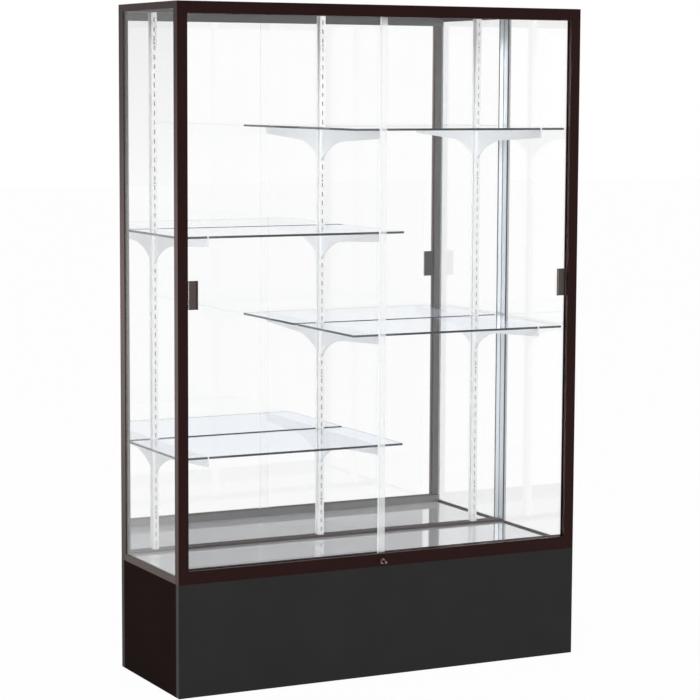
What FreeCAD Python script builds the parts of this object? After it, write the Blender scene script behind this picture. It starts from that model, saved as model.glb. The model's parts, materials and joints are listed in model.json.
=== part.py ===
import FreeCAD, Part
import os

from FreeCAD import Vector

# A floor-standing display case: a board plinth carries an extruded metal frame with glazed sides,
# a mirrored back, two sliding glass doors and glass shelves on hooked brackets.
# Millimetres. X runs to the right, Y from the front to the rear, Z up from the floor.
# The origin is the middle of the footprint, on the floor.

# Overall size
CASE_WIDTH = 1219.2
CASE_DEPTH = 406.4
CASE_HEIGHT = 1828.8

# Plinth
PLINTH_HEIGHT = 304.8
PLINTH_BOARD = 19.05
PLINTH_EDGE_ROUND = 0.8
CORNER_BLOCK = 38.0
CORNER_BLOCK_LIFT = 6.0

# Frame extrusions
FRONT_POST_WIDTH = 29.0
FRONT_POST_DEPTH = 24.5
REAR_POST_DEPTH = 33.0
TOP_RAIL_HEIGHT = 31.75
BOTTOM_RAIL_HEIGHT = 35.0
SIDE_RAIL_HEIGHT = 19.0
REAR_TOP_RAIL_HEIGHT = 19.0
REAR_BOTTOM_RAIL_HEIGHT = 21.0
REAR_RAIL_DEPTH = 22.0
EXTRUSION_WALL = 1.8
GROOVE_WALL = 1.25
TRACK_WALL = 2.2
TRACK_WEB = 4.0
POST_CAP = 1.5
FRAME_EDGE_ROUND = 0.8
TONGUE_CLEARANCE = 0.1

# Glazing and boards
GLASS_THICKNESS = 6.0
GLASS_GROOVE_DEPTH = 9.0
GASKET_WALL = 0.75
GASKET_BASE = 1.0
MIRROR_THICKNESS = 3.0
BACK_BOARD_THICKNESS = 2.0
MIRROR_SETBACK = 3.45
MIRROR_RAIL_ENTRY = 8.0
MIRROR_POST_ENTRY = 5.0
MIRROR_CLEARANCE = 0.2
DECK_THICKNESS = 14.3
TOP_PANEL_THICKNESS = 6.35
TOP_PANEL_RECESS = 3.0
TOP_PANEL_ENTRY = 6.0
PANEL_CLEARANCE = 0.15

# Sliding doors
DOOR_LAP = 22.0
JAMB_ENTRY = 6.0
JAMB_CLEARANCE = 2.0
TRACK_END_CLEARANCE = 3.0
POST_CLEARANCE = 0.8
SHOE_WALL = 1.5
SHOE_WEB = 2.0
SHOE_CLEARANCE = 0.3
SHOE_FLOOR_GAP = 2.0
SHOE_GLASS_DEPTH = 12.0
DOOR_TOP_ENTRY = 12.0
DOOR_TOP_ROOM = 8.0
DOOR_TOP_CLEARANCE = 0.5
ROLLER_RADIUS = 7.0
ROLLER_SIDE_GAP = 0.5
ROLLER_ROOM = 0.75
ROLLER_INSET = 70.0
ROLLER_EDGE = 0.6
ROLLING_GAP = 0.05
AXLE_RADIUS = 2.0
AXLE_FIT = 0.05

# Door pulls
PULL_WIDTH = 27.0
PULL_LENGTH = 76.0
PULL_DEPTH = 6.0
PULL_WALL = 1.4
PULL_PASSING_GAP = 2.0
RIGHT_PULL_INSET = 21.4
LEFT_PULL_INSET = 30.1
PULL_CENTRE_HEIGHT = 1066.8

# Push lock in the bottom rail
LOCK_OFFSET = -5.0
LOCK_HEIGHT = 14.2
LOCK_BODY_RADIUS = 4.0
LOCK_BODY_HOLD = 2.0
LOCK_BODY_EDGE = 0.6
LOCK_BODY_PROUD = 18.0
LOCK_PIN_RADIUS = 2.2
LOCK_PIN_SETBACK = 0.6
LOCK_BITE = 1.1
LOCK_FIT = 0.05
LOCK_HOLE_ROOM = 0.3
LOCK_SLEEVE_WALL = 1.8
LOCK_SLEEVE_PROUD = 5.0
LOCK_FLANGE_RADIUS = 7.5
LOCK_FLANGE_THICKNESS = 1.5
LOCK_PLUG_RADIUS = 2.5
LOCK_PLUG_LENGTH = 9.0
KEYWAY_WIDTH = 1.0
KEYWAY_HEIGHT = 3.4
KEYWAY_DEPTH = 6.0

# Slotted shelf standards
STANDARD_INSET = 101.6
STANDARD_WIDTH = 16.0
STANDARD_DEPTH = 9.6
STANDARD_WALL = 1.5
SLOT_PITCH = 25.4
SLOT_HEIGHT = 13.0
SLOT_WIDTH = 3.4
SLOT_START = 10.0
SLOT_END_MARGIN = 6.0
STANDARD_SCREW_SLOTS_FROM_FOOT = (3, 17)
STANDARD_SCREW_SLOTS_FROM_HEAD = (18, 3)

# Shelf brackets, drawn as distances forward of the standard and below the shelf
BRACKET_THICKNESS = 2.4
BRACKET_REAR_HEIGHT = 86.0
BRACKET_CURVE_LENGTH = 112.0
BRACKET_CURVE_HEIGHT = 35.0
BRACKET_CURVE_SAG = 9.0
BRACKET_NOSE_HEIGHT = 22.0
BRACKET_NOSE_RADIUS = 7.0
LIP_LENGTH = 5.0
LIP_CORNER = 1.5
HOOK_DROP = 14.1
HOOK_NECK = 6.0
HOOK_TAIL = 4.0
HOOK_THICKNESS = 2.3
HOOK_CLEARANCE = 0.2
HOOK_SLOT_STEP = 2

# Glass shelves, each named with the slot that takes the upper hooks of its brackets
SHELF_LAP = 76.2
SHELF_END_GAP = 25.4
SHELF_FRONT_GAP = 5.1
SHELF_THICKNESS = 6.0
SHELF_CORNER = 2.0
SHELF_GAP = 0.5
LEFT_SHELVES = {"lower_left": 11, "upper_left": 34}
RIGHT_SHELVES = {"lower_right": 23, "upper_right": 45}

# Fasteners
CORNER_SCREW_RADIUS = 1.75
CORNER_SCREW_LENGTH = 19.0
CORNER_SCREW_HEAD_RADIUS = 3.25
CORNER_SCREW_HEAD = 2.2
DECK_SCREW_RADIUS = 2.0
DECK_SCREW_BITE = 11.0
DECK_SCREW_HEAD_RADIUS = 4.0
DECK_SCREW_HEAD = 2.5
DECK_SCREW_SPACING_X = 450.0
DECK_SCREW_SPACING_Y = 220.0
STANDARD_SCREW_RADIUS = 1.6
STANDARD_SCREW_HEAD_RADIUS = 3.2

# Case planes
half_width = CASE_WIDTH / 2
front = -CASE_DEPTH / 2
rear = CASE_DEPTH / 2
top = CASE_HEIGHT
deck_bottom = PLINTH_HEIGHT
deck_top = deck_bottom + DECK_THICKNESS
post_top = top - POST_CAP

# Glass plane of the sides and the slim frame round it
glass_groove = GLASS_THICKNESS + 2 * GASKET_WALL
side_frame = glass_groove + 2 * GROOVE_WALL
side_glass_x = half_width - side_frame / 2
side_inner = half_width - side_frame
side_front = front + FRONT_POST_DEPTH
side_rear = rear - REAR_POST_DEPTH
side_bottom = PLINTH_HEIGHT + SIDE_RAIL_HEIGHT
side_top = top - SIDE_RAIL_HEIGHT

# Door planes and tracks
opening_half = half_width - FRONT_POST_WIDTH
shoe_width = GLASS_THICKNESS + 2 * SHOE_WALL
shoe_groove = shoe_width + 2 * SHOE_CLEARANCE
top_groove = GLASS_THICKNESS + 2 * DOOR_TOP_CLEARANCE
rear_track = side_front + POST_CLEARANCE + shoe_width / 2
front_track = rear_track - GLASS_THICKNESS - PULL_DEPTH - PULL_PASSING_GAP
track_rear = rear_track + shoe_groove / 2 + TRACK_WALL
jamb_depth = JAMB_ENTRY + JAMB_CLEARANCE
door_outer = opening_half + JAMB_ENTRY
door_inner = DOOR_LAP / 2
door_travel = door_outer - door_inner
track_end = door_outer + TRACK_END_CLEARANCE
track_floor = PLINTH_HEIGHT + TRACK_WEB
axle_height = track_floor + ROLLING_GAP + ROLLER_RADIUS
shoe_bottom = track_floor + SHOE_FLOOR_GAP
shoe_web_bottom = axle_height + ROLLER_RADIUS + ROLLER_ROOM
door_bottom = shoe_web_bottom + SHOE_WEB
door_top = top - TOP_RAIL_HEIGHT + DOOR_TOP_ENTRY

# Mirror, standards and shelves
silver = rear - MIRROR_SETBACK
mirror_front = silver - MIRROR_THICKNESS
back_board_rear = silver + BACK_BOARD_THICKNESS
mirror_groove_front = mirror_front - MIRROR_CLEARANCE
mirror_groove_rear = back_board_rear + MIRROR_CLEARANCE
mirror_half = side_inner + MIRROR_POST_ENTRY - MIRROR_CLEARANCE
rear_rail_front = rear - REAR_RAIL_DEPTH
rear_rail_top = PLINTH_HEIGHT + REAR_BOTTOM_RAIL_HEIGHT
rear_rail_under = top - REAR_TOP_RAIL_HEIGHT
mirror_bottom = rear_rail_top - MIRROR_RAIL_ENTRY
mirror_top = rear_rail_under + MIRROR_RAIL_ENTRY - MIRROR_CLEARANCE
standard_front = mirror_front - STANDARD_DEPTH
outer_standard = half_width - STANDARD_INSET
standard_places = (-outer_standard, 0.0, outer_standard)
first_slot = rear_rail_top + SLOT_START
slot_room = rear_rail_under - SLOT_END_MARGIN - SLOT_HEIGHT - first_slot
slot_count = int(slot_room // SLOT_PITCH) + 1
shelf_rear = standard_front - SHELF_GAP
shelf_front = track_rear + SHELF_FRONT_GAP
shelf_outer = half_width - SHELF_END_GAP

# Screw and lock places
corner_screw_x = (track_end + side_inner) / 2
corner_screw_heights = (PLINTH_HEIGHT + BOTTOM_RAIL_HEIGHT / 2, top - TOP_RAIL_HEIGHT / 2)
screw_slots = list(STANDARD_SCREW_SLOTS_FROM_FOOT)
screw_slots += [slot_count - 1 - slot for slot in STANDARD_SCREW_SLOTS_FROM_HEAD]
land_middle = (SLOT_PITCH + SLOT_HEIGHT) / 2
screw_lands = [first_slot + SLOT_PITCH * slot + land_middle for slot in screw_slots]
lock_z = PLINTH_HEIGHT + LOCK_HEIGHT
lock_sleeve_radius = LOCK_BODY_RADIUS + LOCK_FIT + LOCK_SLEEVE_WALL
lock_hole_radius = LOCK_BODY_RADIUS + LOCK_HOLE_ROOM
front_wall = front_track - shoe_groove / 2
lock_pin_tip = front_wall - LOCK_PIN_SETBACK
lock_nose = front - LOCK_SLEEVE_PROUD - LOCK_BODY_PROUD
lock_travel = rear_track - shoe_width / 2 + SHOE_WALL + LOCK_BITE - lock_pin_tip


def block(x0, x1, y0, y1, z0, z1):
    return Part.makeBox(x1 - x0, y1 - y0, z1 - z0, Vector(x0, y0, z0))


def rod(x, z, y0, y1, radius):
    return Part.makeCylinder(radius, y1 - y0, Vector(x, y0, z), Vector(0, 1, 0))


def upright(x, y, z0, z1, radius):
    return Part.makeCylinder(radius, z1 - z0, Vector(x, y, z0), Vector(0, 0, 1))


def mirrored(shape):
    return shape.mirror(Vector(0, 0, 0), Vector(1, 0, 0))


def round_uprights(shape, radius, x, y_values):
    # rounds the vertical edges that stand at one x and any of the given y values
    edges = []
    for edge in shape.Edges:
        box = edge.BoundBox
        slim = box.XLength < 1e-6 and box.YLength < 1e-6
        if slim and abs(box.XMin - x) < 1e-6 and any(abs(box.YMin - y) < 1e-6 for y in y_values):
            edges.append(edge)
    return shape.makeFillet(radius, edges)


def save(name, *solids):
    shape = solids[0] if len(solids) == 1 else Part.makeCompound(solids)
    shape.exportStep(os.path.join("parts", name + ".step"))


# Plinth
def plinth_end_panel(y0, y1, outer_y):
    panel = block(-half_width, half_width, y0, y1, 0, PLINTH_HEIGHT)
    panel = round_uprights(panel, PLINTH_EDGE_ROUND, -half_width, (outer_y,))
    return round_uprights(panel, PLINTH_EDGE_ROUND, half_width, (outer_y,))


def plinth_left_panel():
    inner = -half_width + PLINTH_BOARD
    return block(-half_width, inner, front + PLINTH_BOARD, rear - PLINTH_BOARD, 0, PLINTH_HEIGHT)


def plinth_top_panel():
    x = half_width - PLINTH_BOARD
    y = rear - PLINTH_BOARD
    panel = block(-x, x, -y, y, PLINTH_HEIGHT - PLINTH_BOARD, PLINTH_HEIGHT)
    holes = [upright(px, py, PLINTH_HEIGHT - PLINTH_BOARD, PLINTH_HEIGHT, DECK_SCREW_RADIUS)
             for px, py in deck_screw_places()]
    return panel.cut(holes)


def plinth_divider():
    x = PLINTH_BOARD / 2
    y = rear - PLINTH_BOARD
    return block(-x, x, -y, y, 0, PLINTH_HEIGHT - PLINTH_BOARD)


def plinth_corner_blocks():
    x = half_width - PLINTH_BOARD
    y = rear - PLINTH_BOARD
    under = PLINTH_HEIGHT - PLINTH_BOARD
    right = [block(x - CORNER_BLOCK, x, y0, y0 + CORNER_BLOCK, CORNER_BLOCK_LIFT, under)
             for y0 in (-y, y - CORNER_BLOCK)]
    return right + [mirrored(solid) for solid in right]


def deck_screw_places():
    xs = (-DECK_SCREW_SPACING_X, DECK_SCREW_HEAD_RADIUS + PLINTH_BOARD, DECK_SCREW_SPACING_X)
    return [(x, y) for x in xs for y in (-DECK_SCREW_SPACING_Y / 2, DECK_SCREW_SPACING_Y / 2)]


def deck_screws():
    under = PLINTH_HEIGHT - PLINTH_BOARD
    screws = []
    for x, y in deck_screw_places():
        head = upright(x, y, under - DECK_SCREW_HEAD, under, DECK_SCREW_HEAD_RADIUS)
        shank = upright(x, y, under, deck_bottom + DECK_SCREW_BITE, DECK_SCREW_RADIUS)
        screws.append(head.fuse(shank).removeSplitter())
    return screws


# Frame posts, drawn on the left
def front_left_bar(z0, z1):
    bar = block(-half_width, -opening_half, front, side_front, z0, z1)
    bar = round_uprights(bar, FRAME_EDGE_ROUND, -half_width, (front,))
    return round_uprights(bar, FRAME_EDGE_ROUND, -opening_half, (front,))


def rear_left_bar(z0, z1):
    bar = block(-half_width, -side_inner, side_rear, rear, z0, z1)
    return round_uprights(bar, FRAME_EDGE_ROUND, -half_width, (rear,))


def post_caps():
    left = [front_left_bar(post_top, top), rear_left_bar(post_top, top)]
    return left + [mirrored(cap) for cap in left]


def front_left_post():
    left = -half_width
    inner = -opening_half
    channel = inner - jamb_depth
    groove_floor = side_front - GLASS_GROOVE_DEPTH
    post = front_left_bar(PLINTH_HEIGHT, post_top)
    glass_slot = side_glass_slot(-side_glass_x, groove_floor, side_front)
    jamb = block(channel, inner, front_track - shoe_groove / 2, front_track + shoe_groove / 2,
                 PLINTH_HEIGHT, top)
    core = block(left + EXTRUSION_WALL, channel - EXTRUSION_WALL,
                 front + EXTRUSION_WALL, groove_floor - EXTRUSION_WALL, PLINTH_HEIGHT, top)
    return post.cut([glass_slot, jamb, core] + corner_screw_holes(-corner_screw_x))


def rear_left_post():
    post = rear_left_bar(PLINTH_HEIGHT, post_top)
    glass_slot = side_glass_slot(-side_glass_x, side_rear, side_rear + GLASS_GROOVE_DEPTH)
    mirror_slot = block(-side_inner - MIRROR_POST_ENTRY, -side_inner,
                        mirror_groove_front, mirror_groove_rear, PLINTH_HEIGHT, top)
    return post.cut([glass_slot, mirror_slot])


def side_glass_slot(x, y0, y1):
    return block(x - glass_groove / 2, x + glass_groove / 2, y0, y1, PLINTH_HEIGHT, top)


def corner_screw_holes(x):
    deep = track_rear - CORNER_SCREW_LENGTH
    return [rod(x, z, deep, track_rear, CORNER_SCREW_RADIUS) for z in corner_screw_heights]


def corner_screws():
    screws = []
    neck = track_rear - CORNER_SCREW_HEAD
    for x in (-corner_screw_x, corner_screw_x):
        for z in corner_screw_heights:
            head = rod(x, z, neck, track_rear, CORNER_SCREW_HEAD_RADIUS)
            shank = rod(x, z, track_rear - CORNER_SCREW_LENGTH, neck, CORNER_SCREW_RADIUS)
            screws.append(head.fuse(shank).removeSplitter())
    return screws


# Front rails: the tracks run behind the posts, so the ends are notched round them
def track_rail(z0, z1):
    rail = block(-side_inner, side_inner, front, track_rear, z0, z1)
    cuts = []
    for x in (-corner_screw_x, corner_screw_x):
        cuts += corner_screw_holes(x)
        cuts += [rod(x, z, track_rear - CORNER_SCREW_HEAD, track_rear, CORNER_SCREW_HEAD_RADIUS)
                 for z in corner_screw_heights]
    cuts.append(block(-side_inner, -opening_half, front, side_front, z0, z1))
    cuts.append(block(opening_half, side_inner, front, side_front, z0, z1))
    return rail.cut(cuts)


def track_grooves(width, z0, z1):
    half = width / 2
    return [block(-opening_half, opening_half, front_track - half, front_track + half, z0, z1),
            block(-track_end, track_end, rear_track - half, rear_track + half, z0, z1)]


def front_core(width, z0, z1):
    back = front_track - width / 2 - EXTRUSION_WALL
    return block(-opening_half, opening_half, front + EXTRUSION_WALL, back,
                 z0 + EXTRUSION_WALL, z1 - EXTRUSION_WALL)


def front_bottom_rail():
    z1 = PLINTH_HEIGHT + BOTTOM_RAIL_HEIGHT
    rail = track_rail(PLINTH_HEIGHT, z1)
    mid_wall = front_track + shoe_groove / 2
    core = front_core(shoe_groove, PLINTH_HEIGHT, z1)
    rail = rail.cut(track_grooves(shoe_groove, track_floor, z1) + [core])
    return rail.cut([rod(LOCK_OFFSET, lock_z, front, front_wall, lock_sleeve_radius),
                     rod(LOCK_OFFSET, lock_z, mid_wall, rear_track, LOCK_PIN_RADIUS + LOCK_HOLE_ROOM)])


def front_top_rail():
    z0 = top - TOP_RAIL_HEIGHT
    groove_top = z0 + DOOR_TOP_ENTRY + DOOR_TOP_ROOM
    panel_slot = block(-side_inner, side_inner, track_rear - TOP_PANEL_ENTRY - PANEL_CLEARANCE, track_rear,
                       top - TOP_PANEL_RECESS - TOP_PANEL_THICKNESS - PANEL_CLEARANCE,
                       top - TOP_PANEL_RECESS + PANEL_CLEARANCE)
    cuts = track_grooves(top_groove, z0, groove_top) + [front_core(top_groove, z0, groove_top), panel_slot]
    return track_rail(z0, top).cut(cuts)


# Slim rails round the side glass, tongued into the posts, drawn on the left
def left_side_rail(z0, z1, groove_z0, groove_z1):
    x0 = -half_width
    tongue_half = glass_groove / 2 - TONGUE_CLEARANCE
    rail = block(x0, -side_inner, side_front, side_rear, z0, z1)
    tongue_z0 = z0 if groove_z1 == z1 else groove_z1
    tongue_z1 = groove_z0 if groove_z1 == z1 else post_top
    tongue_reach = GLASS_GROOVE_DEPTH - TONGUE_CLEARANCE
    tongue = block(-side_glass_x - tongue_half, -side_glass_x + tongue_half,
                   side_front - tongue_reach, side_rear + tongue_reach, tongue_z0, tongue_z1)
    slot = block(-side_glass_x - glass_groove / 2, -side_glass_x + glass_groove / 2,
                 side_front, side_rear, groove_z0, groove_z1)
    return rail.cut(slot).fuse(tongue).removeSplitter()


def left_bottom_rail():
    return left_side_rail(PLINTH_HEIGHT, side_bottom, side_bottom - GLASS_GROOVE_DEPTH, side_bottom)


def left_top_rail():
    return left_side_rail(side_top, top, side_top, side_top + GLASS_GROOVE_DEPTH)


# Rear rails, tongued into the mirror grooves of the rear posts
def rear_rail(z0, z1, groove_z0, groove_z1, tongue_z0, tongue_z1):
    rail = block(-side_inner, side_inner, rear_rail_front, rear, z0, z1)
    slot = block(-side_inner, side_inner, mirror_groove_front, mirror_groove_rear, groove_z0, groove_z1)
    reach = side_inner + MIRROR_POST_ENTRY - TONGUE_CLEARANCE
    tongue = block(-reach, reach, mirror_groove_front + TONGUE_CLEARANCE,
                   mirror_groove_rear - TONGUE_CLEARANCE, tongue_z0, tongue_z1)
    return rail.cut(slot).fuse(tongue).removeSplitter()


def rear_bottom_rail():
    return rear_rail(PLINTH_HEIGHT, rear_rail_top, mirror_bottom, rear_rail_top,
                     PLINTH_HEIGHT, mirror_bottom)


def rear_top_rail():
    slot_top = rear_rail_under + MIRROR_RAIL_ENTRY
    rail = rear_rail(rear_rail_under, top, rear_rail_under, slot_top, slot_top, post_top)
    panel_slot = block(-side_inner, side_inner, rear_rail_front,
                       rear_rail_front + TOP_PANEL_ENTRY + PANEL_CLEARANCE,
                       top - TOP_PANEL_RECESS - TOP_PANEL_THICKNESS - PANEL_CLEARANCE,
                       top - TOP_PANEL_RECESS + PANEL_CLEARANCE)
    return rail.cut(panel_slot)


# Boards and glazing
def top_panel():
    x = side_inner - PANEL_CLEARANCE
    z1 = top - TOP_PANEL_RECESS
    return block(-x, x, track_rear - TOP_PANEL_ENTRY, rear_rail_front + TOP_PANEL_ENTRY,
                 z1 - TOP_PANEL_THICKNESS, z1)


def deck_panel():
    panel = block(-side_inner, side_inner, track_rear, rear_rail_front, deck_bottom, deck_top)
    return panel.cut([upright(x, y, deck_bottom, deck_bottom + DECK_SCREW_BITE, DECK_SCREW_RADIUS)
                      for x, y in deck_screw_places()])


def side_glass_outline(x0, x1, margin):
    reach = GLASS_GROOVE_DEPTH - margin
    return block(x0, x1, side_front - reach, side_rear + reach, side_bottom - reach, side_top + reach)


def left_side_glass():
    half = GLASS_THICKNESS / 2
    return side_glass_outline(-side_glass_x - half, -side_glass_x + half, GASKET_BASE)


def left_side_gasket():
    half = glass_groove / 2
    ring = side_glass_outline(-side_glass_x - half, -side_glass_x + half, 0)
    window = block(-side_glass_x - half, -side_glass_x + half, side_front, side_rear, side_bottom, side_top)
    tongues = [left_bottom_rail(), left_top_rail()]
    return ring.cut([window, left_side_glass()] + tongues)


def mirror_sheet(y0, y1):
    sheet = block(-mirror_half, mirror_half, y0, y1, mirror_bottom, mirror_top)
    return sheet.cut([rod(x, z, y0, y1, STANDARD_SCREW_RADIUS) for x in standard_places for z in screw_lands])


# Shelf standards
def standard(x):
    half = STANDARD_WIDTH / 2
    inner = half - STANDARD_WALL
    web_rear = standard_front + STANDARD_WALL
    channel = block(x - half, x + half, standard_front, mirror_front, rear_rail_top, rear_rail_under)
    hollow = block(x - inner, x + inner, web_rear, mirror_front, rear_rail_top, rear_rail_under)
    cuts = [hollow]
    for slot in range(slot_count):
        z = first_slot + slot * SLOT_PITCH
        cuts.append(block(x - SLOT_WIDTH / 2, x + SLOT_WIDTH / 2,
                          standard_front, web_rear, z, z + SLOT_HEIGHT))
    cuts += [standard_screw_head(x, z) for z in screw_lands]
    return channel.cut(cuts)


def standard_screw_head(x, z):
    return Part.makeCone(STANDARD_SCREW_HEAD_RADIUS, STANDARD_SCREW_RADIUS, STANDARD_WALL,
                         Vector(x, standard_front, z), Vector(0, 1, 0))


def standard_screws():
    screws = []
    for x in standard_places:
        for z in screw_lands:
            shank = rod(x, z, standard_front + STANDARD_WALL, back_board_rear, STANDARD_SCREW_RADIUS)
            screws.append(standard_screw_head(x, z).fuse(shank))
    return screws


def slot_floor(slot):
    return first_slot + slot * SLOT_PITCH


def shelf_underside(slot):
    return slot_floor(slot) + HOOK_DROP


# Shelf bracket: a plate with a concave rear gusset, a front lip and two hooks
def bracket(x, slot):
    z = shelf_underside(slot)
    lip_rear = shelf_front - SHELF_GAP
    nose = lip_rear - LIP_LENGTH
    lip_top = z + SHELF_THICKNESS
    curve_end = Vector(x, standard_front - BRACKET_CURVE_LENGTH, z - BRACKET_CURVE_HEIGHT)
    heel = Vector(x, standard_front, z - BRACKET_REAR_HEIGHT)
    chord = (curve_end + heel) * 0.5
    middle = chord + Vector(0, 0, BRACKET_CURVE_SAG)
    radius = BRACKET_NOSE_RADIUS
    nose_low = z - BRACKET_NOSE_HEIGHT
    nose_arc_start = Vector(x, nose + radius, nose_low)
    nose_arc_middle = Vector(x, nose + radius * (1 - 0.5 ** 0.5), nose_low + radius * (1 - 0.5 ** 0.5))
    nose_arc_end = Vector(x, nose, nose_low + radius)
    lip_corner_low = Vector(x, nose, lip_top - LIP_CORNER)
    lip_corner_high = Vector(x, nose + LIP_CORNER, lip_top)
    lip_back = Vector(x, lip_rear, lip_top)
    lip_root = Vector(x, lip_rear, z)
    shoulder = Vector(x, standard_front, z)
    edges = [
        Part.Arc(heel, middle, curve_end).toShape(),
        Part.makeLine(curve_end, nose_arc_start),
        Part.Arc(nose_arc_start, nose_arc_middle, nose_arc_end).toShape(),
        Part.makeLine(nose_arc_end, lip_corner_low),
        Part.makeLine(lip_corner_low, lip_corner_high),
        Part.makeLine(lip_corner_high, lip_back),
        Part.makeLine(lip_back, lip_root),
        Part.makeLine(lip_root, shoulder),
        Part.makeLine(shoulder, heel),
    ]
    face = Part.Face(Part.Wire(edges))
    plate = face.extrude(Vector(BRACKET_THICKNESS, 0, 0)).translated(Vector(-BRACKET_THICKNESS / 2, 0, 0))
    hooks = [hook(x, slot_floor(slot - step)) for step in (0, HOOK_SLOT_STEP)]
    return plate.fuse(hooks).removeSplitter()


def hook(x, floor):
    half = BRACKET_THICKNESS / 2
    tail_front = standard_front + STANDARD_WALL + HOOK_CLEARANCE
    tail_rear = tail_front + HOOK_THICKNESS
    neck = block(x - half, x + half, standard_front, tail_rear, floor, floor + HOOK_NECK)
    tail = block(x - half, x + half, tail_front, tail_rear, floor - HOOK_TAIL, floor + HOOK_NECK)
    return neck.fuse(tail)


# Shelf, drawn on the right and lapping past the middle
def shelf(slot):
    z = shelf_underside(slot)
    sheet = block(-SHELF_LAP, shelf_outer, shelf_front, shelf_rear, z, z + SHELF_THICKNESS)
    for side in (-SHELF_LAP, shelf_outer):
        sheet = round_uprights(sheet, SHELF_CORNER, side, (shelf_front, shelf_rear))
    return sheet


# Doors, drawn on the right and at one track
def door_glass(track):
    half = GLASS_THICKNESS / 2
    return block(-door_inner, door_outer, track - half, track + half, door_bottom, door_top)


def roller_places():
    return (-door_inner + ROLLER_INSET, door_outer - ROLLER_INSET)


def door_shoe(track, lock_places):
    half = shoe_width / 2
    inner = GLASS_THICKNESS / 2
    shoe_top = door_bottom + SHOE_GLASS_DEPTH
    shoe = block(-door_inner, door_outer, track - half, track + half, shoe_bottom, shoe_top)
    cuts = [block(-door_inner, door_outer, track - inner, track + inner, z0, z1)
            for z0, z1 in ((door_bottom, shoe_top), (shoe_bottom, shoe_web_bottom))]
    cuts += [rod(x, axle_height, track - half, track + half, AXLE_RADIUS) for x in roller_places()]
    cuts += [rod(x, lock_z, track - half, track + half, lock_hole_radius) for x in lock_places]
    return shoe.cut(cuts)


def door_axles(track):
    half = shoe_width / 2
    return [rod(x, axle_height, track - half, track + half, AXLE_RADIUS) for x in roller_places()]


def door_roller(x, track):
    half = GLASS_THICKNESS / 2 - ROLLER_SIDE_GAP
    wheel = rod(x, axle_height, track - half, track + half, ROLLER_RADIUS)
    rims = [edge for edge in wheel.Edges if edge.BoundBox.YLength < 1e-6]
    wheel = wheel.makeChamfer(ROLLER_EDGE, rims)
    return wheel.cut(rod(x, axle_height, track - half, track + half, AXLE_RADIUS + AXLE_FIT))


def door_pull(track, inset):
    x = door_outer - inset
    half = PULL_WIDTH / 2
    back = track - GLASS_THICKNESS / 2
    z0 = PULL_CENTRE_HEIGHT - PULL_LENGTH / 2
    z1 = PULL_CENTRE_HEIGHT + PULL_LENGTH / 2
    pull = block(x - half, x + half, back - PULL_DEPTH, back, z0, z1)
    channel = block(x - half + PULL_WALL, x + half - PULL_WALL, back - PULL_DEPTH, back - PULL_WALL, z0, z1)
    return pull.cut(channel)


# Lock: a sleeve in the rail, a plunger that slides through both shoes, and a key plug that turns
def lock_sleeve():
    barrel = rod(LOCK_OFFSET, lock_z, front - LOCK_SLEEVE_PROUD, front_wall, lock_sleeve_radius)
    flange = rod(LOCK_OFFSET, lock_z, front - LOCK_FLANGE_THICKNESS, front, LOCK_FLANGE_RADIUS)
    bore = rod(LOCK_OFFSET, lock_z, front - LOCK_SLEEVE_PROUD, front_wall, LOCK_BODY_RADIUS + LOCK_FIT)
    return barrel.fuse(flange).removeSplitter().cut(bore)


def lock_plunger():
    body_end = front + LOCK_BODY_HOLD
    body = rod(LOCK_OFFSET, lock_z, lock_nose, body_end, LOCK_BODY_RADIUS)
    rim = [edge for edge in body.Edges if edge.BoundBox.YMax < lock_nose + 1e-6]
    body = body.makeChamfer(LOCK_BODY_EDGE, rim)
    pin = rod(LOCK_OFFSET, lock_z, body_end, lock_pin_tip, LOCK_PIN_RADIUS)
    socket = rod(LOCK_OFFSET, lock_z, lock_nose, lock_nose + LOCK_PLUG_LENGTH, LOCK_PLUG_RADIUS + LOCK_FIT)
    return body.fuse(pin).removeSplitter().cut(socket)


def lock_plug():
    plug = rod(LOCK_OFFSET, lock_z, lock_nose, lock_nose + LOCK_PLUG_LENGTH, LOCK_PLUG_RADIUS)
    keyway = block(LOCK_OFFSET - KEYWAY_WIDTH / 2, LOCK_OFFSET + KEYWAY_WIDTH / 2,
                   lock_nose, lock_nose + KEYWAY_DEPTH,
                   lock_z - KEYWAY_HEIGHT / 2, lock_z + KEYWAY_HEIGHT / 2)
    return plug.cut(keyway)


os.makedirs("parts", exist_ok=True)

save("plinth_front_panel", plinth_end_panel(front, front + PLINTH_BOARD, front))
save("plinth_rear_panel", plinth_end_panel(rear - PLINTH_BOARD, rear, rear))
save("plinth_left_panel", plinth_left_panel())
save("plinth_right_panel", mirrored(plinth_left_panel()))
save("plinth_top_panel", plinth_top_panel())
save("plinth_divider", plinth_divider())
save("plinth_corner_blocks", *plinth_corner_blocks())
save("deck_screws", *deck_screws())

save("front_left_post", front_left_post())
save("front_right_post", mirrored(front_left_post()))
save("rear_left_post", rear_left_post())
save("rear_right_post", mirrored(rear_left_post()))
save("post_caps", *post_caps())
save("front_bottom_rail", front_bottom_rail())
save("front_top_rail", front_top_rail())
save("left_bottom_rail", left_bottom_rail())
save("right_bottom_rail", mirrored(left_bottom_rail()))
save("left_top_rail", left_top_rail())
save("right_top_rail", mirrored(left_top_rail()))
save("rear_bottom_rail", rear_bottom_rail())
save("rear_top_rail", rear_top_rail())
save("corner_screws", *corner_screws())

save("deck_panel", deck_panel())
save("top_panel", top_panel())
save("left_side_glass", left_side_glass())
save("right_side_glass", mirrored(left_side_glass()))
save("side_glass_gaskets", left_side_gasket(), mirrored(left_side_gasket()))
save("mirror_panel", mirror_sheet(mirror_front, silver))
save("back_board", mirror_sheet(silver, back_board_rear))

for place, x in zip(("left", "centre", "right"), standard_places):
    save(place + "_standard", standard(x))
save("standard_screws", *standard_screws())

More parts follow.
